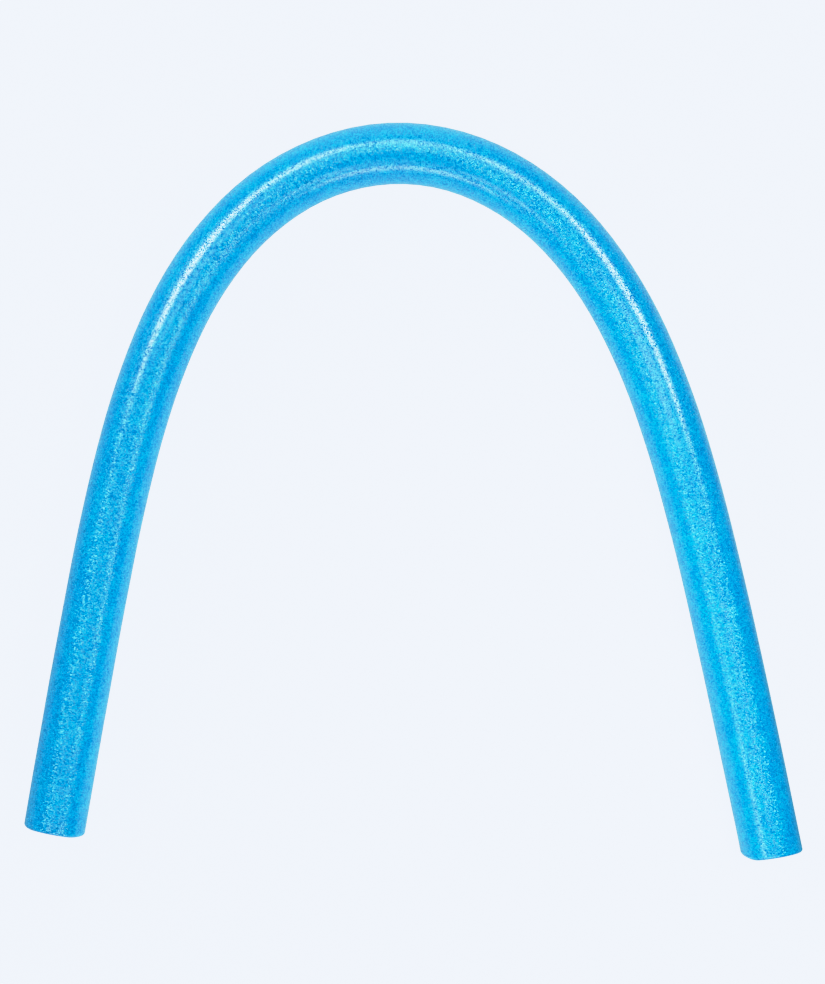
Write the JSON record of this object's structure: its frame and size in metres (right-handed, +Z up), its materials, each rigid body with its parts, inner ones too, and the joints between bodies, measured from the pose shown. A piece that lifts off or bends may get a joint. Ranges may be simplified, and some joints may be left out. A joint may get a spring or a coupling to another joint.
{
  "type": "pool noodle",
  "caption": "Closed-cell foam pool noodle with a bore along its middle, lying flat and bent into a tall arch with both cut ends free.",
  "frame": {"origin": "middle of the noodle's box, on the floor it lies on", "axes": "+Z up from the floor, across the tube; +Y towards the top of the arch, so that both cut ends point to -Y; +X to the right when the noodle is seen from above with its arch at the top, as in the picture"},
  "size_m": [0.7644, 0.7258, 0.0597],
  "materials": {
    "blue_foam": "extruded closed-cell polyethylene foam, bright blue, with a thin soft skin of fine flattened cells and open cells on its cut ends"
  },
  "bodies": {
    "root": {"foam_noodle": "blue_foam"}
  },
  "joints": []
}
